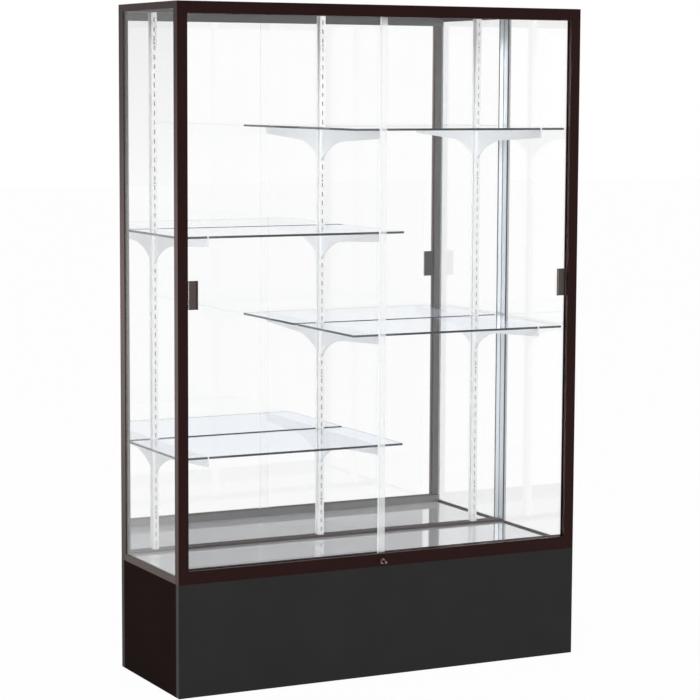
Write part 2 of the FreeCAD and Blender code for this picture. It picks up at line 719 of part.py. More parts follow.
for name, slot in LEFT_SHELVES.items():
    save(name + "_shelf", mirrored(shelf(slot)))
    save(name + "_centre_bracket", bracket(0.0, slot))
    save(name + "_outer_bracket", bracket(-outer_standard, slot))
for name, slot in RIGHT_SHELVES.items():
    save(name + "_shelf", shelf(slot))
    save(name + "_centre_bracket", bracket(0.0, slot))
    save(name + "_outer_bracket", bracket(outer_standard, slot))

# the right door runs in the front track, the left door is its mirror image in the rear track
right_lock_places = (LOCK_OFFSET, LOCK_OFFSET + door_travel)
left_lock_places = (-LOCK_OFFSET, -LOCK_OFFSET + door_travel)
save("right_door_glass", door_glass(front_track))
save("right_door_shoe", door_shoe(front_track, right_lock_places))
save("right_door_pull", door_pull(front_track, RIGHT_PULL_INSET))
save("right_door_axles", *door_axles(front_track))
save("left_door_glass", mirrored(door_glass(rear_track)))
save("left_door_shoe", mirrored(door_shoe(rear_track, left_lock_places)))
save("left_door_pull", mirrored(door_pull(rear_track, LEFT_PULL_INSET)))
save("left_door_axles", *[mirrored(axle) for axle in door_axles(rear_track)])
for place, x in zip(("inner", "outer"), roller_places()):
    save("right_door_" + place + "_roller", door_roller(x, front_track))
    save("left_door_" + place + "_roller", mirrored(door_roller(x, rear_track)))

save("lock_sleeve", lock_sleeve())
save("lock_plunger", lock_plunger())
save("lock_plug", lock_plug())

print("door travel", round(door_travel, 3), "lock travel", round(lock_travel, 3))
print("axle height", round(axle_height, 3), "tracks", round(front_track, 3), round(rear_track, 3))
print("roller places", [round(x, 3) for x in roller_places()], "lock height", round(lock_z, 3))
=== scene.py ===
import json
import math

import bpy
from mathutils import Matrix, Vector


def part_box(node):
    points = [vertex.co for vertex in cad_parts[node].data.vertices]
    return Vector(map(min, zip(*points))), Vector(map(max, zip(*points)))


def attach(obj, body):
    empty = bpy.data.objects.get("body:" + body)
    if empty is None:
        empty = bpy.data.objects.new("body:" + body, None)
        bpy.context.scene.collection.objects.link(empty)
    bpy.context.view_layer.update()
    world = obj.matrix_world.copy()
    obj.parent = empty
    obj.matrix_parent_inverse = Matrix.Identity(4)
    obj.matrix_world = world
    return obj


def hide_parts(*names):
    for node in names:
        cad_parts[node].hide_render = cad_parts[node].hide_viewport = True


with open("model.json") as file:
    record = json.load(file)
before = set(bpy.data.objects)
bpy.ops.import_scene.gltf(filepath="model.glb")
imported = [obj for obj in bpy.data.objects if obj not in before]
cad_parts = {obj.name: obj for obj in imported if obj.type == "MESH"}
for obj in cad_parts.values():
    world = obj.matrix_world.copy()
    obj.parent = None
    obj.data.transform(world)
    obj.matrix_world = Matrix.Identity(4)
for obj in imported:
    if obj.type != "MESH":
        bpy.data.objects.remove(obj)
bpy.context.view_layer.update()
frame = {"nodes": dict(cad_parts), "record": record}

MM = 0.001

# The camera at the photograph's viewing angle
CAMERA_AZIMUTH = -27.024
CAMERA_ELEVATION = 6.276
CAMERA_ROLL = 0.272
CAMERA_PLACE = (-3.0287, -5.9301, 1.6127)
CAMERA_LENS = 123.43
SENSOR_WIDTH = 36.0

# Light; a fade is where it starts and how far it runs, along one axis of a direction
WHITE = (1.0, 1.0, 1.0, 1.0)
FLOOR_PAINT = (0.9, 0.9, 0.9, 1.0)
SKY_ON_SURFACES = 0.6
DIM_FRONT = 0.6
FRONT_FADE = (0.3, 0.3)
FRONT_LIFT_FADE = (0.152, 0.03)
DIM_REAR_LEFT = 0.45
LEFT_FADE = (0.05, 0.2)
REAR_FADE = (0.2, 0.3)
REAR_LIFT_FADE = (-0.06, 0.08)
KEY_LAMP_PLACE = (-2.6, -4.6, 3.6)
KEY_LAMP_TARGET = (0.0, 0.0, 0.9)
KEY_LAMP_SIZE = 3.0
KEY_LAMP_WATTS = 140.0
REAR_LAMP_PLACE = (-3.0, 3.6, 0.5)
REAR_LAMP_TARGET = (-0.6, 0.0, 0.4)
REAR_LAMP_SIZE = 1.4
REAR_LAMP_WATTS = 30.0
FLOOR_SIZE = 60.0
REFLECTOR_X = 1.2
REFLECTOR_Y = (-1.37, 1.0)
REFLECTOR_HEIGHT = 3.0
FLOOR_WHITE_SHARE = 0.97
PANE_BOUNCES = 24
MIRROR_BOUNCES = 12
CASE_LAMP_WATTS = 1.25
CASE_LAMP_LENGTH = 1.1
CASE_LAMP_WIDTH = 0.03
CASE_LAMP_DROP = 0.02
CASE_LAMP_SETBACK = 0.03

# Thin trim that only the dressed model carries
EDGE_SKIN = 0.2 * MM
EDGE_ARRIS = 0.6 * MM
HAIR_GAP = 0.03 * MM
BEAD_RADIUS = 0.8 * MM
FILM_THICKNESS = 0.6 * MM
FILM_INSET = 0.5 * MM
CHANNEL_WALL = 0.5 * MM
CHANNEL_DEPTH = 20.0 * MM
SILVER_THICKNESS = 0.1 * MM
STOP_WIDTH = 17.5 * MM
STOP_SLOPE_WIDTH = 10.0 * MM
STOP_CREST = 2.4 * MM
STOP_FOOT = 0.4 * MM
DECK_TRIM_WIDTH = 9.0 * MM
DECK_TRIM_HEIGHT = 4.5 * MM
DECK_TRIM_LIP = 1.5 * MM
BEAD_SIDES = 10

# Cross-recess screws: the places of each set in mm, its head radius, head depth and shank radius
STANDARD_SCREW_HEIGHTS = (431.2, 786.8, 1345.6, 1726.6)
STANDARD_SCREW = (3.2 * MM, 1.5 * MM, 1.6 * MM)
CORNER_SCREW_X = 594.6
CORNER_SCREW_HEIGHTS = (322.3, 1812.925)
CORNER_SCREW = (3.25 * MM, 2.2 * MM, 1.75 * MM)
DECK_SCREW_X = (-450.0, 23.05, 450.0)
DECK_SCREW_Y = (-110.0, 110.0)
DECK_SCREW = (4.0 * MM, 2.5 * MM, 2.0 * MM)
SCREW_SEED = 7
THREAD_PITCH = 1.2 * MM
HEAD_SIDES = 28
SHANK_SIDES = 16
THREAD_STEPS = 12
THREAD_SIDES = 4

# Shares of a screw's head radius, head depth, shank radius and shank length
RECESS_LENGTH = 1.1
RECESS_WIDTH = 0.26
RECESS_DEPTH = 1.4
SHANK_CORE = 0.82
THREAD_RADIUS = 0.84
THREAD_RIDGE = 0.16
THREAD_LENGTH = 0.96
THREAD_START = 0.02

# Turns that point a screw's shank to the rear, to the front and up
TO_REAR = (-math.pi / 2, 0.0, 0.0)
TO_FRONT = (math.pi / 2, 0.0, 0.0)
UPWARD = (0.0, 0.0, 0.0)
QUARTER_TURN = math.pi / 2


def tone(red, green, blue):
    """A colour given as it shows on a screen, 0 to 255, as the linear colour that a shader takes."""
    def linear(value):
        share = value / 255.0
        if share <= 0.04045:
            return share / 12.92
        return ((share + 0.055) / 1.055) ** 2.4
    return (linear(red), linear(green), linear(blue), 1.0)


class Socket:
    """A node's value, which takes part in plain arithmetic."""

    def __init__(self, sheet, socket):
        self.sheet = sheet
        self.socket = socket

    def math(self, operation, first, second):
        return self.sheet.node("ShaderNodeMath", {"operation": operation}, {0: first, 1: second})

    def __add__(self, other):
        return self.math("ADD", self, other)

    __radd__ = __add__

    def __sub__(self, other):
        return self.math("SUBTRACT", self, other)

    def __rsub__(self, other):
        return self.math("SUBTRACT", other, self)

    def __mul__(self, other):
        return self.math("MULTIPLY", self, other)

    __rmul__ = __mul__

    def __truediv__(self, other):
        return self.math("DIVIDE", self, other)

    def above(self, edge):
        return self.math("GREATER_THAN", self, edge)

    def larger(self, other):
        return self.math("MAXIMUM", self, other)

    def size(self):
        return self.math("ABSOLUTE", self, 0.0)

    def rise(self, start, length):
        """0 up to start, then an even climb to 1 over length."""
        climb = self.math("DIVIDE", self - start, length)
        return climb.math("MAXIMUM", climb.math("MINIMUM", climb, 1.0), 0.0)

    def sibling(self, name):
        return Socket(self.sheet, self.socket.node.outputs[name])


class NodeSheet:
    """A node tree that is filled one node at a time."""

    def __init__(self, tree):
        self.tree = tree
        tree.nodes.clear()

    def node(self, kind, settings=None, inputs=None, output=0):
        made = self.tree.nodes.new(kind)
        for name, value in (settings or {}).items():
            if name == "stops":
                self.set_stops(made.color_ramp, value)
            else:
                setattr(made, name, value)
        for key, value in (inputs or {}).items():
            if isinstance(value, Socket):
                self.tree.links.new(value.socket, made.inputs[key])
            else:
                made.inputs[key].default_value = value
        if made.outputs:
            return Socket(self, made.outputs[output])
        return None

    @staticmethod
    def set_stops(ramp, stops):
        while len(ramp.elements) < len(stops):
            ramp.elements.new(1.0)
        for element, (place, colour) in zip(ramp.elements, stops):
            element.position = place
            element.color = colour


class Finish(NodeSheet):
    """A material whose patterns follow the object's own coordinates."""

    def __init__(self, name):
        self.material = bpy.data.materials.new(name)
        self.material.use_nodes = True
        super().__init__(self.material.node_tree)
        self.place = self.node("ShaderNodeTexCoord", output="Object")

    def axis(self, name):
        parts = self.node("ShaderNodeSeparateXYZ", {}, {0: self.place})
        return parts.sibling(name)

    def facing(self, axis):
        """How far a face looks along an axis, from -1 to 1."""
        normal = self.node("ShaderNodeNewGeometry", output="Normal")
        return self.node("ShaderNodeSeparateXYZ", {}, {0: normal}, axis)

    def facing_rear(self):
        """1 on the faces that look towards the rear of the case."""
        return self.facing("Y").above(0.5)

    def noise(self, scale, stretch=(1.0, 1.0, 1.0), detail=2.0):
        place = self.node("ShaderNodeMapping", {}, {"Vector": self.place, "Scale": stretch})
        return self.node("ShaderNodeTexNoise", {}, {"Vector": place, "Scale": scale, "Detail": detail})

    def cells(self, scale, output="Distance"):
        return self.node("ShaderNodeTexVoronoi", {}, {"Vector": self.place, "Scale": scale}, output)

    def ramp(self, factor, *stops):
        return self.node("ShaderNodeValToRGB", {"stops": stops}, {0: factor})

    def blend(self, factor, first, second):
        return self.node("ShaderNodeMix", {"data_type": "RGBA"}, {0: factor, 6: first, 7: second}, 2)

    def bump(self, height, strength, depth):
        return self.node("ShaderNodeBump", {}, {
            "Height": height, "Strength": strength, "Distance": depth})

    def surface(self, inputs):
        return self.node("ShaderNodeBsdfPrincipled", {}, inputs)

    def mix(self, factor, first, second):
        return self.node("ShaderNodeMixShader", {}, {0: factor, 1: first, 2: second})

    def close(self, shader):
        self.node("ShaderNodeOutputMaterial", {}, {"Surface": shader})
        return self.material


# Finishes

ACROSS_GRAIN = 700.0
ALONG_GRAIN = 6.0
EDGE_SHEEN = (1.0, 0.97, 0.95, 1.0)
# Painted shade: a dulled edge sheen that keeps the top faces of the rear bottom rail and the deck trims
# dark.
SHADE_DULLED_SHEEN = (0.6, 0.57, 0.55, 1.0)
BRONZE_DARK = tone(40, 24, 23)
BRONZE_PALE = tone(51, 33, 32)
# Painted light: a paler copy of the bronze for the side bottom rails.
SIDE_RAIL_LIT_DARK = tone(54, 43, 38)
SIDE_RAIL_LIT_PALE = tone(68, 56, 49)
# Painted reflection: paler tones on the faces of the front posts and rails that look towards the mirror;
# the jamb tone is painted light on the posts' inner faces.
POST_INNER_PAINTED_REFLECTION = tone(96, 94, 94)
JAMB_PAINTED_LIGHT = tone(76, 60, 58)
TOP_RAIL_PAINTED_REFLECTION = tone(118, 117, 117)
BOTTOM_RAIL_PAINTED_REFLECTION = tone(138, 137, 137)
JAMB_REACH = 580.65 * MM
# Painted highlight: how far back from their front the pull lips are painted pale.
LIP_HIGHLIGHT_REACH = 0.8 * MM
# Painted glow on the door edges, which are no lamp.
PAINTED_EDGE_GLOW = 0.25
GLASS_IOR = 1.5
PANE_DEEP = (0.996, 0.998, 0.997, 1.0)
PANE_PALE = (0.999, 1.0, 0.999, 1.0)
LIGHT_THROUGH_PANE = (0.998, 0.999, 0.998, 1.0)
SHELF_DEEP = (0.76, 0.82, 0.92, 1.0)
SHELF_PALE = (0.83, 0.88, 0.95, 1.0)
LIGHT_THROUGH_SHELF = (0.97, 0.98, 0.99, 1.0)
FINE_BUMP = 0.05 * MM
DRAWN_BUMP = 0.1 * MM
BOARD_BUMP = 0.15 * MM
PEEL_BUMP = 0.08 * MM
FIBRE_BUMP = 0.2 * MM
CHIP_BUMP = 0.3 * MM


def grain_stretch(axis):
    """Fine lines that run along one axis: 0 for X, 1 for Y and 2 for Z."""
    return tuple(ALONG_GRAIN if index == axis else ACROSS_GRAIN for index in range(3))


def anodised_bronze(name, axis, inner_painted_reflection=None, dark=BRONZE_DARK, pale=BRONZE_PALE, sheen=EDGE_SHEEN):
    """Satin anodising with fine drawn lines; the faces towards the mirror can take a paler tone, which is
    painted reflection, and on the front posts the inner jamb faces take painted light.
    """
    finish = Finish(name)
    lines = finish.noise(1.0, grain_stretch(axis), 3.0)
    clouds = finish.noise(7.0, detail=4.0)
    colour = finish.blend(lines * 0.6 + clouds * 0.4, dark, pale)
    if inner_painted_reflection is not None:
        if axis == 2:
            # Painted light: on the front posts, a paler tone on the inner jamb faces.
            lit_jamb_mask = (JAMB_REACH - finish.axis("X").size()).above(0.0)
            colour = finish.blend(lit_jamb_mask, colour, JAMB_PAINTED_LIGHT)
        # Painted reflection: a paler tone on the faces towards the mirror.
        colour = finish.blend(finish.facing_rear(), colour, inner_painted_reflection)
    return finish.close(finish.surface({
        "Base Color": colour,
        "Metallic": 1.0,
        "Roughness": lines * 0.14 + clouds * 0.08 + 0.3,
        "Specular Tint": sheen,
        "Normal": finish.bump(lines, 0.12, DRAWN_BUMP),
    }))


def channel_pull(name, lip_front):
    """Brushed pewter bronze, with a painted highlight along the lips at the front."""
    finish = Finish(name + "_bronze")
    lines = finish.noise(1.0, grain_stretch(2), 3.0)
    clouds = finish.noise(30.0, detail=4.0)
    web = finish.blend(lines * 0.7 + clouds * 0.3, tone(74, 66, 62), tone(98, 90, 85))
    # Painted highlight: the front lips are painted pale.
    lip_highlight = (lip_front + LIP_HIGHLIGHT_REACH - finish.axis("Y")).above(0.0) * (clouds * 0.5 + 0.5)
    return finish.close(finish.surface({
        "Base Color": finish.blend(lip_highlight, web, tone(168, 160, 152)),
        "Metallic": 1.0,
        "Roughness": lines * 0.14 + clouds * 0.08 + 0.26,
        "Normal": finish.bump(lines, 0.12, DRAWN_BUMP),
    }))


def black_laminate(name, dark, pale, gloss):
    """Pebbled plinth laminate with a few pale specks."""
    finish = Finish(name)
    pebbles = finish.noise(650.0, detail=3.0)
    clouds = finish.noise(9.0, detail=5.0)
    specks = finish.noise(1500.0, detail=1.0).above(0.72)
    colour = finish.blend(clouds * 0.7 + pebbles * 0.3, dark, pale)
    colour = finish.blend(specks * 0.25, colour, tone(90, 88, 86))
    return finish.close(finish.surface({
        "Base Color": colour,
        "Roughness": pebbles * 0.2 + 0.42,
        "Specular IOR Level": gloss,
        "Normal": finish.bump(pebbles, 0.25, BOARD_BUMP),
    }))


def particle_board():
    """Raw chips of mixed browns, as the hidden plinth boards show."""
    finish = Finish("raw_particle_board")
    chips = finish.cells(220.0, "Color")
    dust = finish.noise(900.0, detail=2.0)
    share = finish.node("ShaderNodeSeparateColor", {}, {0: chips})
    colour = finish.ramp(
        share * 0.75 + dust * 0.25,
        (0.0, tone(128, 98, 66)),
        (0.45, tone(172, 140, 100)),
        (1.0, tone(206, 178, 136)),
    )
    return finish.close(finish.surface({
        "Base Color": colour,
        "Roughness": dust * 0.1 + 0.8,
        "Normal": finish.bump(share + dust, 0.3, CHIP_BUMP),
    }))


def hardboard():
    """Pressed fibres with soft cloudy browns."""
    finish = Finish("brown_hardboard")
    fibres = finish.noise(320.0, (1.0, 1.0, 0.35), 4.0)
    clouds = finish.noise(5.0, detail=5.0)
    colour = finish.blend(fibres * 0.5 + clouds * 0.5, tone(92, 62, 40), tone(138, 100, 68))
    return finish.close(finish.surface({
        "Base Color": colour,
        "Roughness": fibres * 0.2 + 0.6,
        "Normal": finish.bump(fibres, 0.3, FIBRE_BUMP),
    }))


def dark_top_board():
    """Dark stained board with grain and pores along the case."""
    finish = Finish("dark_top_board")
    grain = finish.noise(60.0, (0.12, 3.0, 1.0), 5.0)
    pores = finish.noise(500.0, (0.06, 1.0, 1.0), 2.0)
    colour = finish.blend(grain * 0.8 + pores * 0.2, tone(34, 24, 22), tone(58, 44, 40))
    return finish.close(finish.surface({
        "Base Color": colour,
        "Roughness": pores * 0.2 + 0.4,
        "Normal": finish.bump(pores, 0.2, BOARD_BUMP),
    }))


def grey_deck_laminate():
    """Glossy pale grey with fine flecks, which mirrors what stands on it."""
    finish = Finish("grey_deck_laminate")
    flecks = finish.noise(420.0, detail=4.0)
    clouds = finish.noise(3.5, detail=3.0)
    colour = finish.blend(flecks * 0.35 + clouds * 0.65, tone(186, 187, 194), tone(208, 209, 214))
    return finish.close(finish.surface({
        "Base Color": colour,
        "Roughness": flecks * 0.05 + 0.07,
        "Coat Weight": 1.0,
        "Coat Roughness": 0.02,
        "Coat IOR": 2.0,
        "Normal": finish.bump(flecks, 0.03, FINE_BUMP),
    }))


def clear_glass(name, deep, pale, light_through):
    """Glass that bends what is seen through it, and lets lamp light and soft light straight in."""
    finish = Finish(name)
    clouds = finish.noise(4.0, detail=3.0)
    body = finish.surface({
        "Base Color": finish.blend(clouds, deep, pale),
        "Roughness": 0.0,
        "IOR": GLASS_IOR,
        "Transmission Weight": 1.0,
    })
    path = finish.node("ShaderNodeLightPath")
    soft = finish.node("ShaderNodeBsdfTransparent", {}, {"Color": light_through})
    inner = finish.mix(path.sibling("Is Diffuse Ray"), body, soft)
    return finish.close(finish.mix(path.sibling("Is Shadow Ray"), inner, soft))


def silvered_mirror():
    """The mirror's silver, with a faint unevenness."""
    finish = Finish("silvered_mirror")
    clouds = finish.noise(5.0, detail=4.0)
    colour = finish.blend(clouds, tone(252, 252, 252), tone(254, 254, 254))
    return finish.close(finish.surface({
        "Base Color": colour,
        "Metallic": 1.0,
        "Roughness": clouds * 0.006,
    }))


def gasket_vinyl():
    """Glazing gasket: clear round the right glass, and painted dark round the left, as painted shade in
    the groove beside the post.
    """
    finish = Finish("gasket_vinyl")
    clouds = finish.noise(80.0, detail=3.0)
    dark = finish.blend(clouds, tone(58, 55, 54), tone(80, 77, 75))
    pale = finish.blend(clouds, tone(214, 222, 228), tone(236, 240, 244))
    return finish.close(finish.surface({
        # Painted shade: the lips round the left glass are dark.
        "Base Color": finish.blend(finish.axis("X").above(0.0), dark, pale),
        "Roughness": clouds * 0.2 + 0.35,
        "Normal": finish.bump(clouds, 0.1, DRAWN_BUMP),
    }))


def enamelled_steel(name, dark, pale):
    """Painted steel with a slight orange peel."""
    finish = Finish(name)
    peel = finish.noise(380.0, detail=2.0)
    clouds = finish.noise(6.0, detail=3.0)
    colour = finish.blend(clouds * 0.6 + peel * 0.4, dark, pale)
    return finish.close(finish.surface({
        "Base Color": colour,
        "Roughness": peel * 0.15 + 0.3,
        "Normal": finish.bump(peel, 0.15, PEEL_BUMP),
    }))


def bright_steel():
    """Plated steel with fine scratches."""
    finish = Finish("bright_steel")
    scratches = finish.noise(1400.0, (1.0, 0.2, 1.0), 3.0)
    colour = finish.blend(scratches, tone(168, 170, 174), tone(206, 208, 211))
    return finish.close(finish.surface({
        "Base Color": colour,
        "Metallic": 1.0,
        "Roughness": scratches * 0.2 + 0.22,
        "Normal": finish.bump(scratches, 0.1, FINE_BUMP),
    }))


def roller_nylon():
    """Natural nylon, slightly mottled."""
    finish = Finish("roller_nylon")
    clouds = finish.noise(140.0, detail=3.0)
    colour = finish.blend(clouds, tone(214, 208, 194), tone(232, 228, 216))
    return finish.close(finish.surface({
        "Base Color": colour,
        "Roughness": clouds * 0.15 + 0.4,
        "Normal": finish.bump(clouds, 0.1, DRAWN_BUMP),
    }))


def turned_metal(name, dark, pale):
    """A plated metal with the fine rings that turning leaves round the Y axis."""
    finish = Finish(name)
    rings = finish.noise(1.0, (300.0, 5000.0, 300.0), 2.0)
    colour = finish.blend(rings, dark, pale)
    return finish.close(finish.surface({
        "Base Color": colour,
        "Metallic": 1.0,
        "Roughness": rings * 0.12 + 0.1,
        "Normal": finish.bump(rings, 0.06, FINE_BUMP),
    }))


def shelf_edge_glass():
    """Ground and polished glass edge, its dark tone partly the glass's own and partly painted shade; by
    facing, darkest along the front and paler at the rear and ends.
    """
    finish = Finish("polished_shelf_edge")
    clouds = finish.noise(60.0, (0.3, 0.3, 6.0), 3.0)
    rear = finish.blend(clouds, tone(22, 28, 40), tone(48, 60, 76))
    front = finish.blend(clouds, tone(3, 5, 8), tone(10, 15, 22))
    ends = finish.blend(clouds, tone(62, 70, 80), tone(86, 93, 103))
    # Painted shade and light by facing: the front edges darkest, the end edges palest.
    colour = finish.blend((0.0 - finish.facing("Y")).above(0.5), rear, front)
    return finish.close(finish.surface({
        "Base Color": finish.blend(finish.facing("X").size().above(0.5), colour, ends),
        "Roughness": clouds * 0.1 + 0.12,
        "Specular IOR Level": 0.15,
    }))


def door_edge_glass():
    """The pale polished edge of a door, with a painted glow that stands in for the light the pane carries
    to it.
    """
    finish = Finish("polished_door_edge")
    clouds = finish.noise(40.0, (6.0, 6.0, 0.2), 3.0)
    colour = finish.blend(clouds, tone(236, 242, 242), tone(250, 252, 252))
    return finish.close(finish.surface({
        "Base Color": colour,
        "Roughness": clouds * 0.15 + 0.15,
        # Painted glow: the edge is no lamp.
        "Emission Color": colour,
        "Emission Strength": PAINTED_EDGE_GLOW,
    }))


def lap_film():
    """Thin frosted film, which shows only from the front."""
    finish = Finish("frosted_lap_film")
    clouds = finish.noise(300.0, detail=3.0)
    return finish.close(finish.surface({
        "Base Color": finish.blend(clouds, tone(244, 246, 246), tone(252, 253, 253)),
        "Roughness": clouds * 0.2 + 0.3,
        "Alpha": (1.0 - finish.facing_rear()) * (clouds * 0.1 + 0.27),
    }))


def satin_silver():
    """Drawn silver metal, for the channels beside the mirror."""
    finish = Finish("satin_silver_channel")
    lines = finish.noise(1.0, grain_stretch(2), 3.0)
    colour = finish.blend(lines, tone(212, 219, 227), tone(230, 236, 242))
    return finish.close(finish.surface({
        "Base Color": colour,
        "Metallic": 1.0,
        "Roughness": lines * 0.15 + 0.35,
        "Normal": finish.bump(lines, 0.08, FINE_BUMP),
    }))


def smoked_stop():
    """Smooth smoky metal, for the mirror's stop."""
    finish = Finish("smoked_mirror_stop")
    lines = finish.noise(1.0, grain_stretch(2), 3.0)
    return finish.close(finish.surface({
        "Base Color": finish.blend(lines, tone(114, 110, 108), tone(134, 130, 128)),
        "Metallic": 1.0,
        "Roughness": lines * 0.04 + 0.02,
    }))


LONG_AXES = ("bronze_across", "bronze_along", "bronze_upright")
SIDE_PANELS = ("plinth_left_panel", "plinth_right_panel")
FRONT_POSTS = ("front_left_post", "front_right_post")
SIDE_BOTTOM_RAILS = ("left_bottom_rail", "right_bottom_rail")
DOOR_PULLS = ("left_door_pull", "right_door_pull")
OWN_FINISH = ("front_bottom_rail", "front_top_rail", "rear_bottom_rail", "back_board") + DOOR_PULLS


def make_finishes():
    finishes = {name: anodised_bronze(name, axis) for axis, name in enumerate(LONG_AXES)}
    # The front rails and posts get painted reflection on their faces towards the mirror, and the posts
    # get painted light on their jambs.
    finishes["front_bottom_rail"] = anodised_bronze("bronze_bottom_rail", 0, BOTTOM_RAIL_PAINTED_REFLECTION)
    finishes["front_top_rail"] = anodised_bronze("bronze_top_rail", 0, TOP_RAIL_PAINTED_REFLECTION)
    finishes["front_post"] = anodised_bronze("bronze_front_post", 2, POST_INNER_PAINTED_REFLECTION)
    # The rear bottom rail and the deck trims get the dulled sheen, as painted shade.
    finishes["rear_bottom_rail"] = anodised_bronze("bronze_rear_rail", 0, sheen=SHADE_DULLED_SHEEN)
    finishes["deck_trim"] = anodised_bronze("bronze_deck_trim", 1, sheen=SHADE_DULLED_SHEEN)
    # Side bottom rails: a paler copy of the bronze, painted light.
    finishes["side_bottom_rail"] = anodised_bronze(
        "bronze_side_rail", 1, dark=SIDE_RAIL_LIT_DARK, pale=SIDE_RAIL_LIT_PALE)
    for name in DOOR_PULLS:
        finishes[name] = channel_pull(name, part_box(name)[0].y)
    finishes["laminate_black"] = black_laminate(
        "black_laminate_front", tone(33, 33, 33), tone(43, 43, 43), 0.12)
    finishes["laminate_side"] = black_laminate(
        "black_laminate_side", tone(32, 24, 22), tone(40, 31, 28), 0.0)
    finishes["raw_board"] = particle_board()
    finishes["back_board"] = hardboard()
    finishes["dark_board"] = dark_top_board()
    finishes["grey_laminate"] = grey_deck_laminate()
    finishes["clear_glass"] = clear_glass("clear_pane", PANE_DEEP, PANE_PALE, LIGHT_THROUGH_PANE)
    finishes["shelf_glass"] = clear_glass("clear_shelf", SHELF_DEEP, SHELF_PALE, LIGHT_THROUGH_SHELF)
    finishes["silvered_glass"] = silvered_mirror()
    finishes["gasket_rubber"] = gasket_vinyl()
    finishes["white_steel"] = enamelled_steel(
        "white_standard_enamel", tone(250, 251, 252), tone(254, 254, 254))
    finishes["bracket"] = enamelled_steel(
        "pale_bracket_enamel", tone(238, 241, 245), tone(247, 249, 251))
    finishes["bright_steel"] = bright_steel()
    finishes["roller_nylon"] = roller_nylon()
    finishes["lock_chrome"] = turned_metal("lock_nickel", tone(118, 100, 95), tone(160, 140, 134))
    finishes["lock_brass"] = turned_metal("lock_brass", tone(112, 88, 60), tone(150, 122, 84))
    finishes["shelf_edge"] = shelf_edge_glass()
    finishes["door_edge"] = door_edge_glass()
    finishes["lap_film"] = lap_film()
    finishes["silver_channel"] = satin_silver()
    finishes["mirror_stop"] = smoked_stop()
    return finishes


FINISHES = make_finishes()


def longest_axis(node):
    low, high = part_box(node)
    sides = [high[index] - low[index] for index in range(3)]
    return sides.index(max(sides))


def finish_for(node, slot):
    if node in SIDE_PANELS:
        return FINISHES["laminate_side"]
    if node in FRONT_POSTS:
        return FINISHES["front_post"]
    if node in SIDE_BOTTOM_RAILS:
        return FINISHES["side_bottom_rail"]
    if node in OWN_FINISH:
        return FINISHES[node]
    if node.endswith("_bracket"):
        return FINISHES["bracket"]
    if node.endswith("_shelf"):
        return FINISHES["shelf_glass"]
    if slot in ("bronze_frame", "bronze_trim"):
        return FINISHES[LONG_AXES[longest_axis(node)]]
    return FINISHES[slot]


def dress_nodes():
    for part in frame["record"]["subparts"]:
        node = part["node"]
        mesh = frame["nodes"][node].data
        mesh.materials.clear()
        mesh.materials.append(finish_for(node, part["material_slot"]))


# Pieces made by rule

class Shape(NodeSheet):
    """A Geometry Nodes tree with named sizes, turned into a plain mesh."""

    def __init__(self, name, sizes):
        tree = bpy.data.node_groups.new(name, "GeometryNodeTree")
        super().__init__(tree)
        self.sizes = sizes
        self.identifiers = {}
        tree.interface.new_socket("Geometry", in_out="OUTPUT", socket_type="NodeSocketGeometry")
        tree.interface.new_socket("Geometry", in_out="INPUT", socket_type="NodeSocketGeometry")
        for size in sizes:
            socket = tree.interface.new_socket(size, in_out="INPUT", socket_type="NodeSocketFloat")
            self.identifiers[size] = socket.identifier
        self.given = self.node("NodeGroupInput")

    def size(self, name):
        return self.given.sibling(name)

    def vector(self, x, y, z):
        return self.node("ShaderNodeCombineXYZ", {}, {0: x, 1: y, 2: z})

    def move(self, geometry, place):
        return self.node("GeometryNodeTransform", {}, {"Geometry": geometry, "Translation": place})

    def join(self, *pieces):
        joined = self.tree.nodes.new("GeometryNodeJoinGeometry")
        for piece in pieces:
            self.tree.links.new(piece.socket, joined.inputs[0])
        return Socket(self, joined.outputs[0])

    def cut(self, solid, tools):
        """solid with the tools taken out of it."""
        made = self.tree.nodes.new("GeometryNodeMeshBoolean")
        made.operation = "DIFFERENCE"
        self.tree.links.new(solid.socket, made.inputs["Mesh 1"])
        for tool in tools:
            self.tree.links.new(tool.socket, made.inputs["Mesh 2"])
        return Socket(self, made.outputs[0])

    def close(self, geometry, material):
        solid = self.node("GeometryNodeRealizeInstances", {}, {0: geometry})
        dressed = self.node("GeometryNodeSetMaterial", {}, {"Geometry": solid, "Material": material})
        self.node("NodeGroupOutput", {}, {0: dressed})

    def make(self, name, start):
        """A plain mesh object from the tree, run on a start mesh of points or edges."""
        holder = new_object(name + "_start", start)
        modifier = holder.modifiers.new("rule", "NODES")
        modifier.node_group = self.tree
        for size, value in self.sizes.items():
            modifier[self.identifiers[size]] = value
        depsgraph = bpy.context.evaluated_depsgraph_get()
        mesh = bpy.data.meshes.new_from_object(holder.evaluated_get(depsgraph), depsgraph=depsgraph)
        holder.modifiers.remove(modifier)
        bpy.data.objects.remove(holder)
        mesh.name = name
        return new_object(name, mesh)


def new_object(name, mesh):
    made = bpy.data.objects.new(name, mesh)
    bpy.context.scene.collection.objects.link(made)
    return made


def wire(name, points, edges=()):
    mesh = bpy.data.meshes.new(name)
    mesh.from_pydata([tuple(point) for point in points], list(edges), [])
    return mesh


def closed_loop(count):
    return [(index, (index + 1) % count) for index in range(count)]


SHELVES = ("lower_left_shelf", "lower_right_shelf", "upper_left_shelf", "upper_right_shelf")


